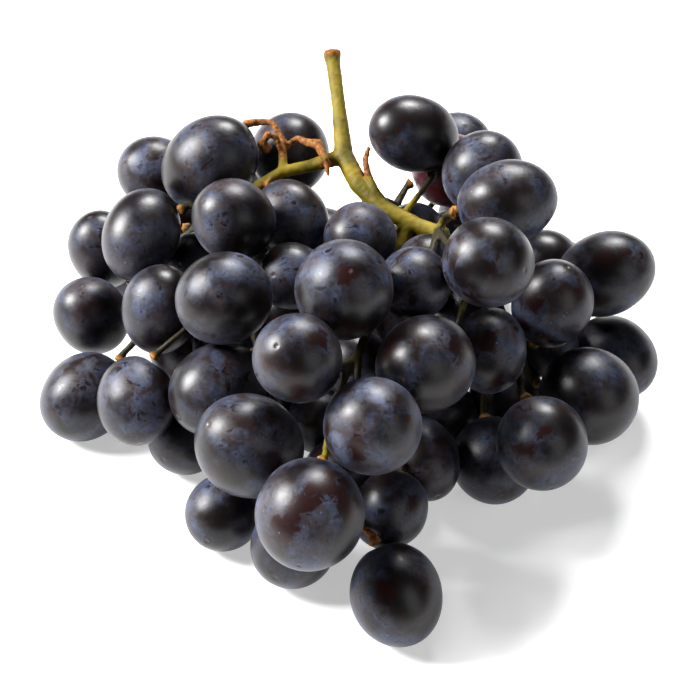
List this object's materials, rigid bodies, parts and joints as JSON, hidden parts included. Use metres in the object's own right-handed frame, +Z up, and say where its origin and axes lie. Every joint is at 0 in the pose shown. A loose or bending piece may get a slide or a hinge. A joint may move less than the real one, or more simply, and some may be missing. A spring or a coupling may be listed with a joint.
{
  "type": "bunch of grapes",
  "caption": "Cut bunch of large dark oval table grapes on its branched stem, lying on a flat surface with the cut stalk reaching out at the back.",
  "frame": {"origin": "on the surface that the bunch lies on, under the middle of its box", "axes": "+Z up, +X to the right and +Y away from the side that the picture was taken from; the cut stalk reaches towards +Y"},
  "size_m": [0.1614, 0.1656, 0.076],
  "materials": {
    "berry_skin": "thin blue-black grape skin with a dusty blue-grey bloom, satin, rubbed glossy maroon in places",
    "red_berry_skin": "less ripe, slightly translucent red-violet grape skin, satin",
    "stem": "fresh yellow-green stem, matt, with brown dried ends and warts"
  },
  "bodies": {
    "root": {"rachis": "stem", "berry_01": "berry_skin", "berry_02": "berry_skin", "berry_03": "red_berry_skin", "berry_04": "berry_skin", "berry_05": "berry_skin", "berry_06": "berry_skin", "berry_07": "berry_skin", "berry_08": "berry_skin", "berry_09": "berry_skin", "berry_10": "berry_skin", "berry_11": "berry_skin", "berry_12": "berry_skin", "berry_13": "berry_skin", "berry_14": "berry_skin", "berry_15": "berry_skin", "berry_16": "berry_skin", "berry_17": "berry_skin", "berry_18": "berry_skin", "berry_19": "berry_skin", "berry_20": "berry_skin", "berry_21": "berry_skin", "berry_22": "berry_skin", "berry_23": "berry_skin", "berry_24": "berry_skin", "berry_25": "berry_skin", "berry_26": "berry_skin", "berry_27": "berry_skin", "berry_28": "berry_skin", "berry_29": "berry_skin", "berry_30": "berry_skin", "berry_31": "berry_skin", "berry_32": "berry_skin", "berry_33": "berry_skin", "berry_34": "berry_skin", "berry_35": "berry_skin", "berry_36": "berry_skin", "berry_37": "berry_skin", "berry_38": "berry_skin", "berry_39": "berry_skin", "berry_40": "berry_skin", "berry_41": "berry_skin", "berry_42": "berry_skin", "berry_43": "berry_skin", "berry_44": "berry_skin", "berry_45": "berry_skin", "berry_46": "berry_skin", "berry_47": "berry_skin", "berry_48": "berry_skin", "berry_49": "berry_skin", "berries_inside_1": "berry_skin", "berries_inside_2": "berry_skin", "berries_inside_3": "berry_skin", "berries_inside_4": "berry_skin", "berries_behind_1": "berry_skin", "berries_behind_2": "berry_skin", "berries_behind_3": "berry_skin", "berries_behind_4": "berry_skin"}
  },
  "joints": []
}
